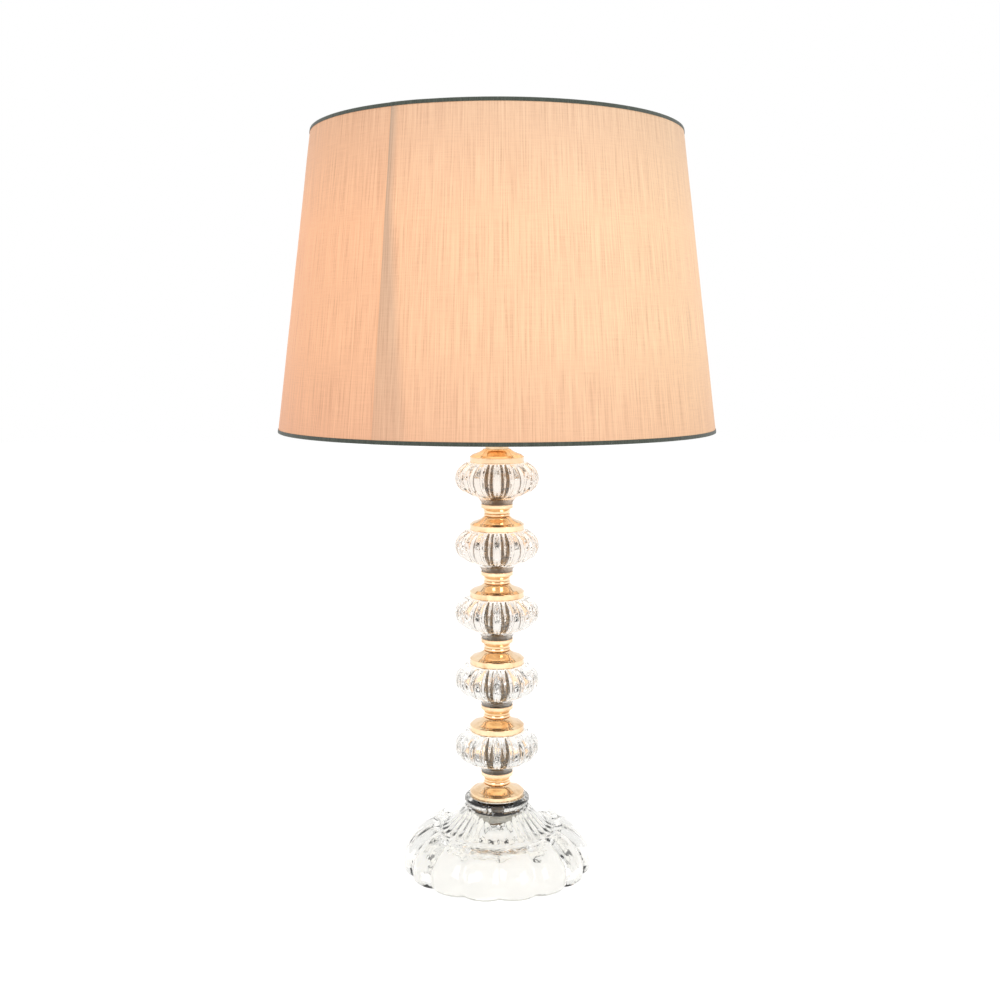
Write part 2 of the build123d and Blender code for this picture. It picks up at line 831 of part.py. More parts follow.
def write_edge_tape(name, edge_height, inward, wire_at, slots=None):
    """A tape folded over one edge and its wire; inward is 1 at the bottom edge, -1 at the top."""
    outer_end = edge_height + inward * tape_width
    inner_end = edge_height + inward * (edge_margin + 2 * wire_radius)
    fold = edge_height + inward * tape_thickness
    inner_radius = wire_at - wire_radius - fixed_gap
    with BuildPart() as edge_tape:
        with BuildSketch(upright(0)):
            with BuildLine():
                Polyline(
                    (cover_radius(outer_end) + tape_thickness, outer_end),
                    (cover_radius(edge_height) + tape_thickness, edge_height),
                    (inner_radius - tape_thickness, edge_height),
                    (inner_radius - tape_thickness, inner_end),
                    (inner_radius, inner_end),
                    (inner_radius, fold),
                    (cover_radius(fold), fold),
                    (cover_radius(outer_end), outer_end),
                    close=True,
                )
            make_face()
        revolve(axis=Axis.Z)
        if slots:
            add(slots, mode=Mode.SUBTRACT)
    finish(edge_tape, name)


write_edge_tape("shade_top_tape", shade_top_height, -1, top_wire_radius)
write_edge_tape("shade_bottom_tape", shade_bottom_height, 1, bottom_wire_radius, tape_slots)
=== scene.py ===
from math import atan2, cos, hypot, pi, radians, sin, sqrt
import bmesh
import bpy
from mathutils import Matrix, Vector, noise


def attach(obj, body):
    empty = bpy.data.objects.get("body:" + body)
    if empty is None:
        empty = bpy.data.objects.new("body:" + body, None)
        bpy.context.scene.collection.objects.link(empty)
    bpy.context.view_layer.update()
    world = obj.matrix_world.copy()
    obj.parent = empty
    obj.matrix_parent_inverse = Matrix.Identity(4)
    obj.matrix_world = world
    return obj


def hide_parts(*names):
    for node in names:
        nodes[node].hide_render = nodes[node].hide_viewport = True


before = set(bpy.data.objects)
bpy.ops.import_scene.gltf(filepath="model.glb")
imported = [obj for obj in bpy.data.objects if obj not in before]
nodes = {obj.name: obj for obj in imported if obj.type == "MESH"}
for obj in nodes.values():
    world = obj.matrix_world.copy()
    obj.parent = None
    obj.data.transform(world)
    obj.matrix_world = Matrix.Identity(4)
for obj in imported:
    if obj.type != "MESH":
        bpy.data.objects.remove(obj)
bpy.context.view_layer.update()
scene = bpy.context.scene

# ---- Camera ------------------------------------------------------------------------------------
# Square on to the lamp's front from 0.9 m away, a little above the middle of the shade, level
# enough that the shade and the stack of beads keep straight sides.

camera = bpy.data.objects.new("camera", bpy.data.cameras.new("camera"))
scene.collection.objects.link(camera)
camera.data.lens = 45.0
camera.data.shift_x = 0.003
camera.data.shift_y = -0.09
camera.data.clip_start = 0.01
camera.location = (0, -0.8657, 0.3602)
camera.rotation_euler = (radians(90 - 2.71), 0, 0)
scene.camera = camera

# ---- Glass foot --------------------------------------------------------------------------------
# Clear pressed glass, one piece: sixteen rounded lobes round the skirt, a fluted cone inside a
# raised mould ring, and a rolled collar for the lowest brass cap. Hollow underneath, as pressed.

glass_turn = radians(-88.3)
foot_lobes = 16
foot_groove = 3.6
foot_crown = 28.8
cone_foot = 24.0
cone_rise = 19.4
foot_top = 48.0


def skirt_curve(reach, rise, angles):
    """Points of the rounded skirt from its widest place up to the crown, in millimetres."""
    return [
        (43.0 + reach * cos(radians(a)) ** 1.25, 6.0 + rise * sin(radians(a)) ** 1.25) for a in angles
    ]


def arc(centre, radius, start, end, count):
    """Points of an arc in an outline, from one angle to another in degrees."""
    turns = [radians(start + (end - start) * i / count) for i in range(count + 1)]
    return [(centre[0] + radius * cos(t), centre[1] + radius * sin(t)) for t in turns]


def turned(outline, steps):
    """A solid spun about the lamp's axis from a closed outline of (radius, height) in millimetres."""
    bm = bmesh.new()
    points = [bm.verts.new((radius / 1000, 0, height / 1000)) for radius, height in outline]
    painted_side_light = [bm.edges.new((points[i - 1], points[i])) for i in range(len(points))]
    bmesh.ops.spin(
        bm, geom=points + painted_side_light, axis=(0, 0, 1), cent=(0, 0, 0), angle=2 * pi, steps=steps, use_merge=True
    )
    bmesh.ops.remove_doubles(bm, verts=bm.verts, dist=1e-7)
    bmesh.ops.recalc_face_normals(bm, faces=bm.faces)
    return bm


def lobe(angle, count, turn, rounding, power=2.0):
    """How deep a ring of rounded lobes goes at an angle: 0 on a crest, 1 in a groove."""
    share = 1 - abs((angle - turn) * count / (2 * pi) % 1 - 0.5) * 2
    edge = 1 - rounding
    if share <= edge:
        return share**power
    over = share - edge
    return edge**power + power * edge ** (power - 1) * (over - over**2 / rounding / 2)


def made(name, bm, finish, body, slot, *replaced, crease=35):
    """The finished piece: smooth faces with sharp edges kept, its finish, and the body it rides on."""
    mesh = bpy.data.meshes.new(name)
    bm.to_mesh(mesh)
    bm.free()
    mesh.polygons.foreach_set("use_smooth", [True] * len(mesh.polygons))
    mesh.set_sharp_from_angle(angle=radians(crease))
    mesh.materials.append(finish)
    piece = bpy.data.objects.new(name, mesh)
    scene.collection.objects.link(piece)
    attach(piece, body)
    if replaced:
        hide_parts(*replaced)
    return piece


def finish_named(name):
    """A new node material: its node tree, its shader and its object coordinates."""
    material = bpy.data.materials.new(name)
    material.use_nodes = True
    tree = material.node_tree
    shader = tree.nodes["Principled BSDF"]
    place = tree.nodes.new("ShaderNodeTexCoord").outputs["Object"]
    return material, tree, shader, place


def add(tree, kind, links=(), **values):
    """A node with its settings and, by socket, what feeds it."""
    node = tree.nodes.new("ShaderNode" + kind)
    for key, value in values.items():
        setattr(node, key, value)
    for socket, source in dict(links).items():
        if isinstance(source, bpy.types.NodeSocket):
            tree.links.new(source, node.inputs[socket])
        else:
            node.inputs[socket].default_value = source
    return node


def speckle(tree, place, scale, detail=2.0, rough=0.5, stretch=(1, 1, 1)):
    """Noise of a given fineness per metre, stretched along the axes."""
    at = add(tree, "Mapping", {"Vector": place, "Scale": stretch}).outputs[0]
    grain = {"Vector": at, "Scale": scale, "Detail": detail, "Roughness": rough}
    return add(tree, "TexNoise", grain).outputs["Fac"]


def between(tree, share, low, high, start=0.3, end=0.7):
    """A number that runs from one value to another with a noise or a coordinate."""
    spread = {"Value": share, "From Min": start, "From Max": end, "To Min": low, "To Max": high}
    return add(tree, "MapRange", spread).outputs[0]


def shades(tree, share, *stops):
    """A colour ramp from (position, colour) stops, in linear values."""
    ramp = add(tree, "ValToRGB", {"Fac": share})
    while len(ramp.color_ramp.elements) < len(stops):
        ramp.color_ramp.elements.new(0.5)
    for element, (position, colour) in zip(ramp.color_ramp.elements, stops):
        element.position = position
        element.color = (*colour, 1)
    return ramp.outputs[0]


def relief(tree, shader, *layers):
    """Bump layers on a shader, each a height with its depth in metres."""
    normal = None
    for height, depth in layers:
        bump = add(tree, "Bump", {"Height": height, "Distance": depth, "Strength": 1.0})
        if normal:
            tree.links.new(normal, bump.inputs["Normal"])
        normal = bump.outputs[0]
    tree.links.new(normal, shader.inputs["Normal"])


clear_glass, tree, shader, place = finish_named("clear pressed glass")
shader.inputs["Transmission Weight"].default_value = 1.0
shader.inputs["IOR"].default_value = 1.52
height = add(tree, "SeparateXYZ", {0: place}).outputs[2]
# The glass's tone varies at random, and runs from greyer at the foot to clearer in the middle and warm
# towards the top. The warm tint near the shade is a painted glow from the lit shade, not the glass's own
# colour.
batch_tone_and_painted_warmth = {0: speckle(tree, place, 40), 1: 0.12, 2: height}
batch_tone_and_painted_warmth = add(tree, "Math", batch_tone_and_painted_warmth, operation="MULTIPLY_ADD").outputs[0]
tint = shades(
    tree,
    between(tree, batch_tone_and_painted_warmth, 0, 1, 0.05, 0.35),
    (0.0, (0.86, 0.86, 0.835)),
    (0.5, (0.96, 0.94, 0.90)),
    (0.9, (0.99, 0.90, 0.81)),
)
tree.links.new(tint, shader.inputs["Base Color"])
in_bead = add(tree, "Math", {0: height, 1: 0.11232, 2: 0.0653}, operation="WRAP").outputs[0]
satin = add(tree, "Math", {0: height, 1: 0.06}, operation="GREATER_THAN").outputs[0]
satin = {0: satin, 1: between(tree, in_bead, 0.7, 0.0, 0.0688, 0.0705)}
satin = add(tree, "Math", satin, operation="MULTIPLY").outputs[0]
smooth = between(tree, speckle(tree, place, 220), 0.0, 0.035, 0.45, 0.75)
rough = add(tree, "Math", {0: satin, 1: smooth}, operation="ADD").outputs[0]
tree.links.new(rough, shader.inputs["Roughness"])
wavy = add(
    tree,
    "Math",
    {0: speckle(tree, place, 95, 1.5), 1: between(tree, height, 4.5, 1.0, 0.04, 0.055)},
    operation="MULTIPLY",
).outputs[0]
relief(tree, shader, (wavy, 0.00016), (speckle(tree, place, 420, 2.0), 0.00003))

foot_outline = [(64.3, 0.0), (65.1, 0.6), (65.6, 2.0), (65.75, 4.0)]
foot_outline += skirt_curve(22.8, 23.4, [i * 3.9 for i in range(1, 21)])
foot_outline += [(45.2, 28.9), (43.6, 28.2), (41.9, 27.2), (41.0, 26.7)]
foot_outline += arc((39.95, 26.0), 0.75, 40, 180, 6) + [(38.4, 26.0)]
for i in range(1, 15):
    share = 0.103 + (1 - 0.103) * i / 14
    foot_outline.append((21.3 + 18.3 * (1 - share) ** 1.15, cone_foot + cone_rise * share))
foot_outline += arc((20.9, 46.7), 2.0, -60, 78, 12) + [(20.6, 49.4), (19.9, 49.4), (19.2, 48.9), (19.2, 48.0)]
foot_outline += [(12.0, 48.0), (5.6, 48.0), (5.6, 44.0), (5.6, 40.0), (12.0, 40.0), (17.0, 40.0)]
foot_outline += [(19.6, 37.2), (22.2, 34.4), (24.8, 31.5), (27.4, 28.7)]
for i in range(1, 9):
    share = i / 8
    across = 27.4 * (1 - share) ** 2 + 2 * 33.0 * share * (1 - share) + 45.0 * share**2
    foot_outline.append((across, 28.7 * (1 - share) ** 2 + 2 * 22.6 * share * (1 - share) + 21.4 * share**2))
foot_outline += skirt_curve(16.3, 15.5, [80 - i * 5.3 for i in range(1, 16)])
foot_outline += [(59.3, 3.0), (59.45, 0.5), (59.9, 0.0), (60.8, 0.0)]

foot = turned(foot_outline, foot_lobes * 22)
for vert in foot.verts:
    radius, height = hypot(vert.co.x, vert.co.y) * 1000, vert.co.z * 1000
    hollow = 43.0 + 16.3 * max(0, 1 - max(0, (height - 6) / 15.5) ** 1.6) ** 0.625
    outside = radius > hollow + 1.6 or height > 21.6
    depth, count, power = 0.0, foot_lobes, 2.4
    if outside and radius > 41.5:
        depth = foot_groove * (1 - 0.5 * height / foot_crown) * min(1, (radius - 41.5) / 3.0)
    elif outside and height > 26.0 and radius > 20.2:
        depth, count, power = max(0.3, 1 - (height - cone_foot) / cone_rise), foot_lobes * 2, 1.6
    if depth:
        angle = atan2(vert.co.y, vert.co.x)
        inwards = 1 - depth * lobe(angle, count, glass_turn + pi / count, 0.1, power) / radius
        vert.co.x *= inwards
        vert.co.y *= inwards
base_glass = made("glass_foot", foot, clear_glass, "lamp", "clear_glass", "base_glass", crease=50)


def bored(piece, *cutters):
    """Cuts round holes out of a piece: each (radius, start, end) is a rod, in millimetres."""
    for radius, start, end in cutters:
        start, end = Vector(start) / 1000, Vector(end) / 1000
        rod = bmesh.new()
        bmesh.ops.create_cone(
            rod,
            cap_ends=True,
            segments=64,
            radius1=radius / 1000,
            radius2=radius / 1000,
            depth=(end - start).length,
        )
        lie = (end - start).to_track_quat("Z", "Y").to_matrix().to_4x4()
        bmesh.ops.transform(rod, matrix=Matrix.Translation((start + end) / 2) @ lie, verts=rod.verts)
        cutter = bpy.data.objects.new("rod", bpy.data.meshes.new("rod"))
        rod.to_mesh(cutter.data)
        rod.free()
        scene.collection.objects.link(cutter)
        cut = piece.modifiers.new("cut", "BOOLEAN")
        cut.object = cutter
        cut.solver = "EXACT"
        solid = bpy.data.meshes.new_from_object(piece.evaluated_get(bpy.context.evaluated_depsgraph_get()))
        piece.modifiers.clear()
        old, piece.data = piece.data, solid
        solid.name = piece.name
        bpy.data.meshes.remove(old)
        bpy.data.meshes.remove(cutter.data)


bored(base_glass, (5.0, (0, 43, 8.2), (0, 72, 8.2)), (6.7, (0, 62.4, 8.2), (0, 72, 8.2)))

# ---- Clamp and cord inlet ----------------------------------------------------------------------
# Under the foot a rubber washer, a plated steel washer and a hexagon nut pull the whole stack
# together; a black moulded bushing lines the cord's hole at the back.

rubber, tree, shader, place = finish_named("black rubber")
tone = shades(tree, speckle(tree, place, 300, 4), (0.3, (0.012, 0.012, 0.012)), (0.75, (0.035, 0.034, 0.032)))
tree.links.new(tone, shader.inputs["Base Color"])
tree.links.new(between(tree, speckle(tree, place, 900), 0.6, 0.85), shader.inputs["Roughness"])
relief(tree, shader, (speckle(tree, place, 1800, 3), 0.00006))

steel, tree, shader, place = finish_named("zinc-plated steel")
shader.inputs["Metallic"].default_value = 1.0
tone = shades(
    tree,
    speckle(tree, place, 260, 5),
    (0.3, (0.33, 0.32, 0.29)),
    (0.55, (0.50, 0.49, 0.46)),
    (0.8, (0.40, 0.38, 0.32)),
)
tree.links.new(tone, shader.inputs["Base Color"])
tree.links.new(between(tree, speckle(tree, place, 700, 4), 0.22, 0.45), shader.inputs["Roughness"])
relief(tree, shader, (speckle(tree, place, 1500, 3), 0.00002))

pipe_brass, tree, shader, place = finish_named("threaded brass tube")
shader.inputs["Metallic"].default_value = 1.0
height = add(tree, "SeparateXYZ", {0: place}).outputs[2]
ridge = add(tree, "Math", {0: height, 1: 2 * pi * 1000}, operation="MULTIPLY").outputs[0]
ridge = add(tree, "Math", {0: ridge}, operation="SINE").outputs[0]
# Darker in the thread's grooves and lighter on its crests: painted shade in the grooves.
tone = shades(tree, between(tree, ridge, 0, 1, -1, 1), (0.2, (0.14, 0.095, 0.05)), (0.9, (0.30, 0.20, 0.105)))
tree.links.new(tone, shader.inputs["Base Color"])
tree.links.new(between(tree, speckle(tree, place, 500, 3), 0.4, 0.6), shader.inputs["Roughness"])
relief(tree, shader, (ridge, 0.00012), (speckle(tree, place, 1200), 0.00002))

black_plastic, tree, shader, place = finish_named("black moulded plastic")
tone = shades(tree, speckle(tree, place, 120, 4), (0.3, (0.014, 0.014, 0.015)), (0.8, (0.032, 0.031, 0.030)))
tree.links.new(tone, shader.inputs["Base Color"])
tree.links.new(between(tree, speckle(tree, place, 800, 3), 0.25, 0.45), shader.inputs["Roughness"])
relief(tree, shader, (speckle(tree, place, 2500, 2), 0.00003))


def dress(name, finish):
    """Gives a piece of the frame its finish."""
    nodes[name].data.materials.clear()
    nodes[name].data.materials.append(finish)


dress("base_rubber_washer", rubber)
dress("base_steel_washer", steel)
dress("base_clamp_nut", steel)
dress("threaded_pipe", pipe_brass)
dress("cord_inlet_bushing", black_plastic)

# ---- Bell caps, rings and cups -----------------------------------------------------------------
# Thin brass, spun and turned on a lathe and lacquered: a bell with an upright rim and a low cone
# over each bead, and a half-round ring and a coved cup that carry the next bead.

pitch = 47.02
bell_to_bead = 17.3

brass, tree, shader, place = finish_named("polished brass")
shader.inputs["Metallic"].default_value = 1.0
shader.inputs["Coat Weight"].default_value = 0.12
shader.inputs["Coat Roughness"].default_value = 0.1
wear = speckle(tree, place, 90, 5, 0.6)
tone = shades(
    tree, wear, (0.32, (0.74, 0.48, 0.26)), (0.48, (0.92, 0.67, 0.42)), (0.75, (0.97, 0.77, 0.53))
)
tree.links.new(tone, shader.inputs["Base Color"])
rough = add(
    tree,
    "Math",
    {
        0: between(tree, speckle(tree, place, 140, 4), 0.03, 0.09),
        1: between(tree, speckle(tree, place, 60, 2, stretch=(1, 1, 60)), 0.0, 0.05),
    },
    operation="ADD",
)
tree.links.new(rough.outputs[0], shader.inputs["Roughness"])
relief(
    tree,
    shader,
    (speckle(tree, place, 60, 2, stretch=(0.6, 0.6, 50)), 0.000006),
    (speckle(tree, place, 160, 2), 0.00003),
)


def cone(start, end, count):
    """The bell's curve from its shoulder up to its neck: a low cone that steepens at the end."""
    points = []
    for i in range(1, count + 1):
        t = i / count
        across = start[0] + (end[0] - start[0]) * (1.32 * t - 0.32 * t**3)
        points.append((across, start[1] + (end[1] - start[1]) * (0.86 * t + 0.14 * t**2)))
    return points


def bell(level):
    """The outline of a bell cap that stands at a level."""
    outline = [(18.0, 0.0), (18.75, 0.0), (18.9, 0.15), (18.9, 0.4)]
    outline += [(18.78, 0.52), (18.78, 3.45), (18.9, 3.55)]
    outline += arc((18.6, 3.75), 0.3, 0, 60, 5) + [(18.25, 4.3), (17.6, 4.9), (16.9, 5.42)]
    outline += cone((16.9, 5.42), (9.6, 9.1), 18) + [(9.4, 9.3), (7.0, 9.3), (5.3, 9.3), (5.3, 8.4)]
    outline += [(8.4, 8.4), (9.2, 7.9), (12.0, 6.5), (14.6, 5.4), (16.4, 4.6), (17.4, 3.6), (17.9, 2.6)]
    return [(radius, level + height) for radius, height in outline]


def ring(level):
    """The outline of a half-round ring."""
    outline = [(5.3, 0.0), (8.2, 0.0), (8.35, 0.12)] + arc((7.95, 1.2), 1.25, -58, 58, 12)
    outline += [(8.35, 2.28), (8.2, 2.4), (5.3, 2.4)]
    return [(radius, level + height) for radius, height in outline]


def cup(level):
    """The outline of a bead's cup: a cove, then an upright rim with a fine lip."""
    outline = [(5.3, 0.0), (8.9, 0.0), (9.0, 0.2), (9.05, 0.8)]
    outline += [(9.2, 1.4), (9.45, 2.0), (9.8, 2.6), (10.2, 3.1)]
    outline += [(10.5, 3.4), (10.95, 3.5), (11.2, 3.75), (11.2, 4.1), (11.08, 4.2), (11.08, 5.5), (11.2, 5.6)]
    outline += [(11.2, 5.95), (11.05, 6.15), (10.8, 6.2), (10.7, 6.05), (10.7, 5.6), (5.3, 5.6)]
    return [(radius, level + height) for radius, height in outline]


for number in range(1, 7):
    level = foot_top + (number - 1) * pitch
    spun = [("bell", bell(level), 128, "bell_cap")]
    if number < 6:
        spun.append(("ring", ring(level + 9.3), 96, "neck_ring"))
        spun.append(("cup", cup(level + 11.7), 96, "bead_cup"))
    for name, outline, steps, node in spun:
        made(
            f"brass_{name}_{number}",
            turned(outline, steps),
            brass,
            "lamp",
            "polished_brass",
            f"{node}_{number}",
        )

dress("check_nut", brass)

# ---- Glass beads -------------------------------------------------------------------------------
# Five clear pressed-glass beads, each with twenty rounded ribs that run out into a smooth round
# foot. A hole through the middle lets the threaded pipe pass, which shows through the glass.

bead_ribs = 20
bead_groove = 2.2
bead_belly = 16.5
bead_full = 0.91
bead_radius = 29.4
bead_middle = 18.72


def bead(level):
    """The outline of a bead that stands at a level, with the hole down its middle."""
    outline = [(5.6, 0.0), (10.1, 0.0), (10.45, 0.12), (10.6, 0.4), (10.65, 0.9), (10.85, 1.6), (11.25, 2.4)]
    outline += [(11.85, 3.3), (12.7, 4.2), (13.8, 5.05), (15.2, 5.85)]
    for i in range(29):
        turn = radians(58 - 58 * i / 28)
        outline.append((bead_radius * cos(turn) ** bead_full, bead_middle - 14.3 * sin(turn) ** bead_full))
    for i in range(1, 25):
        turn = radians(45.2 * i / 24)
        outline.append((bead_radius * cos(turn), bead_middle + 15.5 * sin(turn)))
    outline += [(19.6, 29.72), (17.0, 29.72), (9.0, 29.72), (5.6, 29.72), (5.6, 20.0), (5.6, 10.0)]
    return [(radius, level + height) for radius, height in outline]


for number in range(1, 6):
    level = foot_top + (number - 1) * pitch + bell_to_bead
    body = turned(bead(level), bead_ribs * 14)
    for vert in body.verts:
        radius, height = hypot(vert.co.x, vert.co.y) * 1000, vert.co.z * 1000 - level
        if radius > 14.0 and height > 5.0:
            fade = max(0, (radius - bead_belly) / (bead_radius - bead_belly))
            depth = bead_groove * min(1, 0.15 + 1.4 * fade) * min(1, (height - 5.0) / 1.5)
            angle = atan2(vert.co.y, vert.co.x)
            inwards = 1 - depth * lobe(angle, bead_ribs, pi / bead_ribs, 0.14, 4) / radius
            vert.co.x *= inwards
            vert.co.y *= inwards
    made(f"ribbed_bead_{number}", body, clear_glass, "lamp", "clear_glass", f"glass_bead_{number}", crease=50)

# ---- Lampholder --------------------------------------------------------------------------------
# A brass-cased holder screwed down on the pipe, with a moulded core, two terminal screws, an inner
# screw shell for the bulb and a black threaded skirt for the shade's ring.

contact_brass, tree, shader, place = finish_named("rolled brass thread")
shader.inputs["Metallic"].default_value = 1.0
axes = add(tree, "SeparateXYZ", {0: place}).outputs
turn = add(tree, "Math", {0: axes[1], 1: axes[0]}, operation="ARCTAN2").outputs[0]
rise = add(tree, "Math", {0: axes[2], 1: 2 * pi / 0.00363}, operation="MULTIPLY").outputs[0]
screw = add(tree, "Math", {0: rise, 1: turn}, operation="SUBTRACT").outputs[0]
screw = add(tree, "Math", {0: screw}, operation="SINE").outputs[0]
# The thread's tone is darker down its helical groove: painted shade in the groove.
tone = shades(tree, between(tree, screw, 0, 1, -1, 1), (0.1, (0.45, 0.30, 0.13)), (0.8, (0.78, 0.58, 0.29)))
tree.links.new(tone, shader.inputs["Base Color"])
tree.links.new(between(tree, speckle(tree, place, 400, 3), 0.2, 0.38), shader.inputs["Roughness"])
relief(tree, shader, (screw, 0.0009), (speckle(tree, place, 900), 0.00002))

ceramic, tree, shader, place = finish_named("white ceramic")
tone = shades(tree, speckle(tree, place, 150, 4), (0.3, (0.60, 0.58, 0.53)), (0.8, (0.74, 0.73, 0.69)))
tree.links.new(tone, shader.inputs["Base Color"])
tree.links.new(between(tree, speckle(tree, place, 600), 0.25, 0.5), shader.inputs["Roughness"])
relief(tree, shader, (speckle(tree, place, 700, 3), 0.00005))

threaded_plastic, tree, shader, place = finish_named("black threaded plastic")
height = add(tree, "SeparateXYZ", {0: place}).outputs[2]
ridge = add(tree, "Math", {0: height, 1: 2 * pi / 0.0025}, operation="MULTIPLY").outputs[0]
ridge = add(tree, "Math", {0: ridge}, operation="SINE").outputs[0]
tone = shades(tree, speckle(tree, place, 120, 4), (0.3, (0.014, 0.014, 0.015)), (0.8, (0.034, 0.033, 0.031)))
tree.links.new(tone, shader.inputs["Base Color"])
tree.links.new(between(tree, speckle(tree, place, 800, 3), 0.28, 0.45), shader.inputs["Roughness"])
relief(tree, shader, (ridge, 0.0005), (speckle(tree, place, 2500, 2), 0.00003))

dress("lampholder_cap", brass)
dress("lampholder_grub_screw", steel)
dress("lampholder_core", ceramic)
dress("terminal_screws", steel)
dress("lampholder_skirt", threaded_plastic)
dress("thread_sleeve", contact_brass)
dress("centre_contact", contact_brass)
dress("shade_ring", black_plastic)

# ---- Bulb --------------------------------------------------------------------------------------
# A plain opal bulb, switched on: blown glass frosted inside, glued into an aluminium screw cap
# with a black insulator and a soldered tip.

lit_glass, tree, shader, place = finish_named("opal glass, lit")
tone = shades(tree, speckle(tree, place, 60, 3), (0.3, (0.80, 0.76, 0.68)), (0.7, (0.86, 0.83, 0.77)))
tree.links.new(tone, shader.inputs["Base Color"])
tree.links.new(between(tree, speckle(tree, place, 400), 0.25, 0.4), shader.inputs["Roughness"])
height = add(tree, "SeparateXYZ", {0: place}).outputs[2]
warm = shades(
    tree,
    between(tree, height, 0, 1, 0.345, 0.42),
    (0.0, (0.55, 0.30, 0.12)),
    (0.45, (1.0, 0.66, 0.36)),
    (0.8, (1.0, 0.80, 0.54)),
)
tree.links.new(warm, shader.inputs["Emission Color"])
shader.inputs["Emission Strength"].default_value = 2.0
relief(tree, shader, (speckle(tree, place, 1400, 2), 0.00002))

bulb_cap, tree, shader, place = finish_named("aluminium screw cap")
shader.inputs["Metallic"].default_value = 1.0
axes = add(tree, "SeparateXYZ", {0: place}).outputs
turn = add(tree, "Math", {0: axes[1], 1: axes[0]}, operation="ARCTAN2").outputs[0]
rise = add(tree, "Math", {0: axes[2], 1: 2 * pi / 0.00363}, operation="MULTIPLY").outputs[0]
screw = add(tree, "Math", {0: rise, 1: turn}, operation="SUBTRACT").outputs[0]
screw = add(tree, "Math", {0: screw}, operation="SINE").outputs[0]
tone = shades(tree, speckle(tree, place, 300, 4), (0.3, (0.52, 0.52, 0.52)), (0.75, (0.68, 0.68, 0.67)))
tree.links.new(tone, shader.inputs["Base Color"])
tree.links.new(between(tree, speckle(tree, place, 500, 3), 0.25, 0.42), shader.inputs["Roughness"])
relief(tree, shader, (screw, 0.0009), (speckle(tree, place, 900), 0.00002))

dress("bulb_envelope", lit_glass)
dress("bulb_screw_cap", bulb_cap)
dress("bulb_insulator", black_plastic)
dress("bulb_tip", steel)

# ---- Shade: wires and fitter -------------------------------------------------------------------
# White enamelled steel wire: a ring at each edge, and at the lower one three straight arms welded
# to the flat washer that drops over the lampholder.

enamel, tree, shader, place = finish_named("white enamel")
tone = shades(tree, speckle(tree, place, 200, 4), (0.3, (0.66, 0.64, 0.60)), (0.7, (0.78, 0.77, 0.74)))
tree.links.new(tone, shader.inputs["Base Color"])
tree.links.new(between(tree, speckle(tree, place, 500), 0.2, 0.4), shader.inputs["Roughness"])
relief(tree, shader, (speckle(tree, place, 900, 2), 0.00006))
dress("shade_fitter", enamel)
dress("shade_top_wire", enamel)
dress("shade_bottom_wire", enamel)

# ---- Shade: silk and liner ---------------------------------------------------------------------
# One conical cut of slubbed silk glued to a white plastic liner and rolled once round, its end
# lapped by 19 mm over the start, left of the front. The bulb's light through the silk is a painted glow in
# its emission.

shade_low = 305.4
shade_high = 508.6
lap_start = radians(-119.7)
lap_width = 19.0
cloth_depth = 0.45
shade_slope = (149.6 - 126.8) / 204.0


def cover(height):
    """The radius of the silk's outer face at a height."""
    return 149.6 - shade_slope * (height - 305.0)


silk, tree, shader, place = finish_named("slubbed silk with painted glow")
cloth = add(tree, "UVMap", uv_map="cloth").outputs[0]
across, along = add(tree, "SeparateXYZ", {0: cloth}).outputs[:2]
threads = speckle(tree, cloth, 1.0, 2.0, 0.6, stretch=(1100, 22, 1))
slubs = speckle(tree, cloth, 1.0, 2.0, 0.5, stretch=(760, 75, 1))
picks = speckle(tree, cloth, 1.0, 2.0, 0.55, stretch=(60, 1300, 1))
cloudy = speckle(tree, cloth, 1.0, 2.0, 0.5, stretch=(9, 7, 1))
weave = add(tree, "Mix", {"Factor": 0.2, "A": threads, "B": picks}).outputs["Result"]
thick = between(tree, slubs, 0, -0.07, 0.64, 0.78)
weave = add(tree, "Math", {0: thick, 1: weave}, operation="ADD").outputs[0]
silk_tone = shades(
    tree,
    weave,
    (0.30, (0.39, 0.265, 0.18)),
    (0.44, (0.46, 0.32, 0.23)),
    (0.56, (0.50, 0.36, 0.26)),
    (0.72, (0.55, 0.40, 0.295)),
)
tree.links.new(silk_tone, shader.inputs["Base Color"])
tree.links.new(between(tree, weave, 0.55, 0.8), shader.inputs["Roughness"])
shader.inputs["Sheen Weight"].default_value = 0.15
shader.inputs["Sheen Roughness"].default_value = 0.4
# Painted glow up the shade: dimmer and more orange at the bottom, brightest across the middle, dimmer and
# cooler at the top.
up_the_shade = between(tree, along, 0, 1, 0.0, 0.205)
glow = shades(
    tree,
    up_the_shade,
    (0.0, (0.74, 0.60, 0.50)),
    (0.3, (0.95, 0.92, 0.88)),
    (0.65, (1, 1, 1)),
    (1.0, (0.66, 0.68, 0.76)),
)
# Painted light round the shade: the glow is warmer and more orange on the left and paler on the right.
painted_side_light = shades(
    tree,
    between(tree, across, 0, 1, 0.0, 0.886),
    (0.0, (0.77, 0.64, 0.46)),
    (0.09, (0.77, 0.77, 0.66)),
    (0.24, (0.77, 0.92, 0.90)),
    (0.45, (0.77, 0.77, 0.66)),
    (0.84, (0.77, 0.54, 0.30)),
    (0.97, (0.77, 0.60, 0.40)),
)
# Painted shade at the lap: the glow is dimmed where the cloth lies double, most of all near the top.
lap_shade_edge = between(tree, along, 0.021, 0.0034, 0.0, 0.15)
lap_shade_edge = add(tree, "Math", {0: across, 1: lap_shade_edge}, operation="SUBTRACT").outputs[0]
lap_shade_edge = {"Value": lap_shade_edge, "From Min": -0.003, "From Max": 0.003, "To Max": 1.0}
lap = add(tree, "MapRange", lap_shade_edge).outputs[0]
tree.links.new(between(tree, along, 0.76, 0.15, 0.0, 0.2), lap.node.inputs["To Min"])
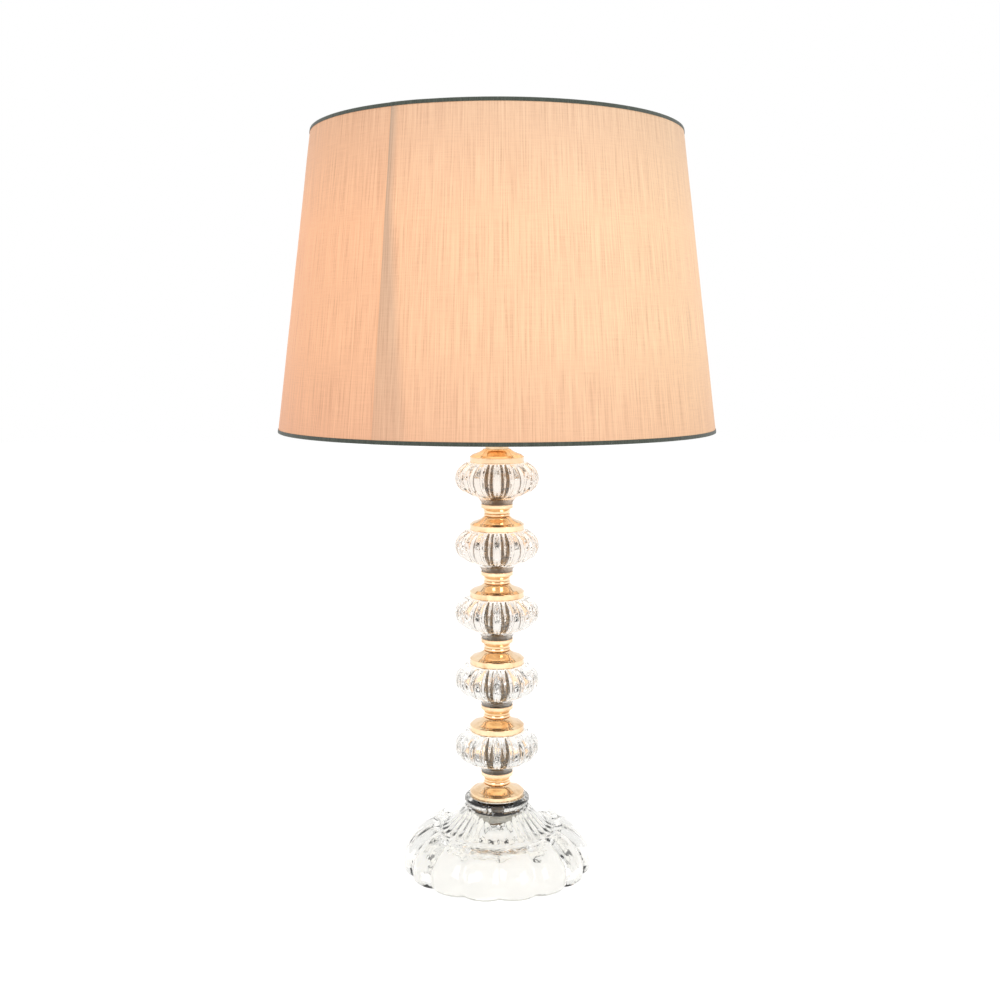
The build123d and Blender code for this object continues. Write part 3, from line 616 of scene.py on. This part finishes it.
# The painted glow's colour, darker where the weave is thick.
painted_glow_tint = shades(
    tree,
    weave,
    (0.30, (0.50, 0.23, 0.105)),
    (0.50, (0.67, 0.345, 0.17)),
    (0.70, (0.76, 0.41, 0.21)),
)
# The silk's emission is this painted glow, made of the tones above.
painted_glow_colour = add(tree, "Mix", {0: 1.0, 6: glow, 7: painted_side_light}, data_type="RGBA", blend_type="MULTIPLY").outputs[2]
painted_glow_colour = add(tree, "Mix", {0: 1.0, 6: painted_glow_tint, 7: painted_glow_colour}, data_type="RGBA", blend_type="MULTIPLY").outputs[2]
painted_glow_colour = add(tree, "VectorMath", {0: painted_glow_colour, "Scale": lap}, operation="SCALE").outputs[0]
tree.links.new(painted_glow_colour, shader.inputs["Emission Color"])
shader.inputs["Emission Strength"].default_value = 1.0
relief(tree, shader, (threads, 0.00016), (picks, 0.00008), (slubs, 0.00022), (cloudy, 0.0004))


def wrapped(outset, depth, steps, rows, lap_out):
    """A cone of sheet, rolled once round with its end lapped under its start, as a closed thickness."""
    around = 2 * pi + lap_width / 138.0
    bm = bmesh.new()
    rail = []
    for i in range(rows + 1):
        height = shade_low + (shade_high - shade_low) * i / rows
        radius = (cover(height) - outset) / 1000
        rail.append(bm.verts.new((radius * cos(lap_start), radius * sin(lap_start), height / 1000)))
    edges = [bm.edges.new((rail[i], rail[i + 1])) for i in range(rows)]
    bmesh.ops.spin(bm, geom=rail + edges, axis=(0, 0, 1), cent=(0, 0, 0), angle=around, steps=steps)
    bmesh.ops.recalc_face_normals(bm, faces=bm.faces)
    bm.verts.ensure_lookup_table()
    layer = bm.loops.layers.uv.new("cloth")
    columns = len(bm.verts) // (rows + 1)
    slant = hypot(shade_high - shade_low, cover(shade_low) - cover(shade_high)) / 1000
    spot = {}
    for index, vert in enumerate(bm.verts):
        column, row = divmod(index, rows + 1)
        turn = around * column / (columns - 1)
        spot[vert] = (turn * 0.138, slant * row / rows)
        under = lap_out * max(0, 1 - turn * 138.0 / (lap_width + 9.0)) if turn < 1 else 0
        full = lap_out if turn * 138.0 < lap_width else under * (lap_width + 9.0) / 9.0
        ripple = noise.noise(Vector((turn * 4.0, row * 0.21, outset))) * 0.12
        radius = hypot(vert.co.x, vert.co.y)
        scale = 1 + (full + ripple * (0 < row < rows)) / 1000 / radius
        vert.co.x *= scale
        vert.co.y *= scale
    for face in bm.faces:
        for loop in face.loops:
            loop[layer].uv = spot[loop.vert]
    outward = sum(face.normal.xy.dot(face.calc_center_median().xy) for face in bm.faces)
    if outward < 0:
        bmesh.ops.reverse_faces(bm, faces=bm.faces)
    bmesh.ops.solidify(bm, geom=bm.faces, thickness=depth / 1000)
    return bm


cover_silk = made(
    "silk_cover",
    wrapped(0.0, cloth_depth, 288, 40, 0.5),
    silk,
    "shade",
    "shade_fabric",
    "shade_fabric",
    crease=60,
)

liner_white, tree, shader, place = finish_named("white shade liner with painted glow")
tone = shades(tree, speckle(tree, place, 90, 3), (0.3, (0.72, 0.67, 0.58)), (0.7, (0.80, 0.76, 0.68)))
tree.links.new(tone, shader.inputs["Base Color"])
tree.links.new(between(tree, speckle(tree, place, 500), 0.45, 0.65), shader.inputs["Roughness"])
# Painted glow: the liner's emission stands in for the bulb's light on it, brightest a little below the middle
# and dimmer towards top and bottom.
height = add(tree, "SeparateXYZ", {0: place}).outputs[2]
glow = shades(
    tree,
    between(tree, height, 0, 1, 0.305, 0.509),
    (0.0, (0.66, 0.42, 0.26)),
    (0.42, (1.0, 0.66, 0.42)),
    (1.0, (0.50, 0.31, 0.18)),
)
tree.links.new(glow, shader.inputs["Emission Color"])
shader.inputs["Emission Strength"].default_value = 0.5
relief(tree, shader, (speckle(tree, place, 700, 3), 0.00005))
dress("shade_liner", liner_white)

# ---- Shade: edge tapes -------------------------------------------------------------------------
# A strip of dark grey-green cotton tape glued round each edge, over the silk outside and round
# the wire inside, its cut edges a little uneven.

tape_cotton, tree, shader, place = finish_named("dark grey-green cotton tape")
axes = add(tree, "SeparateXYZ", {0: place}).outputs
turn = add(tree, "Math", {0: axes[1], 1: axes[0]}, operation="ARCTAN2").outputs[0]
round_it = add(tree, "CombineXYZ", {0: turn, 1: axes[2]}).outputs[0]
ribs = speckle(tree, round_it, 1.0, 2.0, 0.5, stretch=(190, 90, 1))
fluff = speckle(tree, place, 900, 4, 0.6)
tone = shades(
    tree,
    add(tree, "Mix", {"Factor": 0.5, "A": ribs, "B": fluff}).outputs["Result"],
    (0.3, (0.022, 0.028, 0.020)),
    (0.5, (0.048, 0.060, 0.045)),
    (0.75, (0.100, 0.115, 0.090)),
)
tree.links.new(tone, shader.inputs["Base Color"])
tree.links.new(between(tree, fluff, 0.75, 0.95), shader.inputs["Roughness"])
shader.inputs["Sheen Weight"].default_value = 0.3
shader.inputs["Sheen Roughness"].default_value = 0.5
relief(tree, shader, (ribs, 0.00018), (fluff, 0.00012))


def edge_tape(edge, inward, wire_at):
    """A tape folded over an edge of the shade; inward is 1 at the bottom edge and -1 at the top."""
    outer = [(cover(edge + inward * h) + 0.33, edge + inward * h) for h in (2.6, 2.0, 1.4, 0.8)]
    fold = [(cover(edge) + 0.16, edge + inward * 0.28), (cover(edge) - 0.35, edge + inward * 0.05)]
    under = [(wire_at - 0.9, edge + inward * 0.05), (wire_at - 1.6, edge + inward * 0.5)]
    inner = [(wire_at - 1.92, edge + inward * h) for h in (1.3, 2.2, 3.1)]
    back = [(wire_at - 1.62, edge + inward * h) for h in (3.1, 1.4)]
    back += [(wire_at - 1.3, edge + inward * 0.6), (cover(edge) - 0.5, edge + inward * 0.38)]
    back += [(cover(edge) - 0.02, edge + inward * 0.6)]
    back += [(cover(edge + inward * 2.6) + 0.02, edge + inward * 2.6)]
    bm = turned(outer + fold + under + inner + back, 720)
    for vert in bm.verts:
        height = (vert.co.z * 1000 - edge) * inward
        turn = atan2(vert.co.y, vert.co.x)
        if height > 2.9:
            wobble = noise.noise(Vector((cos(turn) * 9, sin(turn) * 9, edge))) * 0.22
            wobble += noise.noise(Vector((cos(turn) * 70, sin(turn) * 70, edge))) * 0.14
            vert.co.z += inward * wobble / 1000
        lump = noise.noise(Vector((cos(turn) * 24, sin(turn) * 24, height * 0.6 + edge))) * 0.05
        radius = hypot(vert.co.x, vert.co.y)
        past = ((turn - lap_start) % (2 * pi)) * 138.0
        if radius * 1000 > cover(edge) - 1.0 and (past < lap_width + 9.0 or past > 2 * pi * 138.0 - 1.5):
            lump += 0.5 * min(1, (lap_width + 9.0 - past) / 9.0) if past < lap_width + 9.0 else 0.4
        vert.co.x *= 1 + lump / 1000 / radius
        vert.co.y *= 1 + lump / 1000 / radius
    return bm


wire_low = cover(306.95) - 0.85 - 1.6 * sqrt(1 + shade_slope**2)
wire_high = cover(507.05) - 0.85 - 1.6 * sqrt(1 + shade_slope**2)
tape_low = made(
    "tape_bottom",
    edge_tape(305.0, 1, wire_low),
    tape_cotton,
    "shade",
    "edge_tape",
    "shade_bottom_tape",
    crease=70,
)
tape_high = made(
    "tape_top",
    edge_tape(509.0, -1, wire_high),
    tape_cotton,
    "shade",
    "edge_tape",
    "shade_top_tape",
    crease=70,
)

for turn in (90, 210, 330):
    away = Vector((cos(radians(turn)), sin(radians(turn)), 0))
    arm_start = away * 138 + Vector((0, 0, 308.7))
    arm_end = away * (wire_low + 0.2) + Vector((0, 0, 307.1))
    bored(tape_low, (1.7, arm_start, arm_end))

# ---- Floor, backdrop and light -----------------------------------------------------------------
# A plain pale floor that keeps the lamp's soft shadow, white all round, one large soft lamp high
# on the left and a weaker one on the right.

floor = bpy.data.objects.new("floor", bpy.data.meshes.new("floor"))
plane = bmesh.new()
bmesh.ops.create_grid(plane, x_segments=1, y_segments=1, size=4.0)
plane.to_mesh(floor.data)
plane.free()
scene.collection.objects.link(floor)
pale, tree, shader, place = finish_named("pale floor")
shader.inputs["Base Color"].default_value = (0.80, 0.80, 0.80, 1)
shader.inputs["Roughness"].default_value = 0.9
path = add(tree, "LightPath").outputs
shader.inputs["Emission Color"].default_value = (1, 1, 1, 1)
seen = add(tree, "Math", {0: path["Is Camera Ray"], 1: path["Is Glossy Ray"]}, operation="MAXIMUM").outputs[0]
seen = add(tree, "Math", {0: seen, 1: path["Is Transmission Ray"]}, operation="MAXIMUM").outputs[0]
lift = add(tree, "Math", {0: seen, 1: 0.6}, operation="MULTIPLY")
tree.links.new(lift.outputs[0], shader.inputs["Emission Strength"])
floor.data.materials.append(pale)

world = bpy.data.worlds.new("studio")
scene.world = world
world.use_nodes = True
tree = world.node_tree
backdrop = tree.nodes["Background"]
path = add(tree, "LightPath").outputs
seen = add(tree, "Math", {0: path["Is Camera Ray"], 1: path["Is Glossy Ray"]}, operation="MAXIMUM").outputs[0]
seen = add(tree, "Math", {0: seen, 1: path["Is Transmission Ray"]}, operation="MAXIMUM").outputs[0]
backdrop.inputs["Color"].default_value = (1, 1, 1, 1)
tree.links.new(between(tree, seen, 0.55, 1.0, 0, 1), backdrop.inputs["Strength"])


def soft_lamp(name, place, size, power):
    """A square lamp that faces the middle of the object."""
    lamp = bpy.data.objects.new(name, bpy.data.lights.new(name, "AREA"))
    lamp.data.size = size
    lamp.data.energy = power
    lamp.location = place
    lamp.rotation_euler = (Vector((0, 0, 0.25)) - Vector(place)).to_track_quat("-Z", "Y").to_euler()
    scene.collection.objects.link(lamp)


soft_lamp("soft_lamp_left", (-1.1, -1.6, 1.5), 1.0, 16)
soft_lamp("soft_lamp_right", (1.4, -1.3, 1.1), 1.0, 15)

scene.view_settings.view_transform = "Standard"
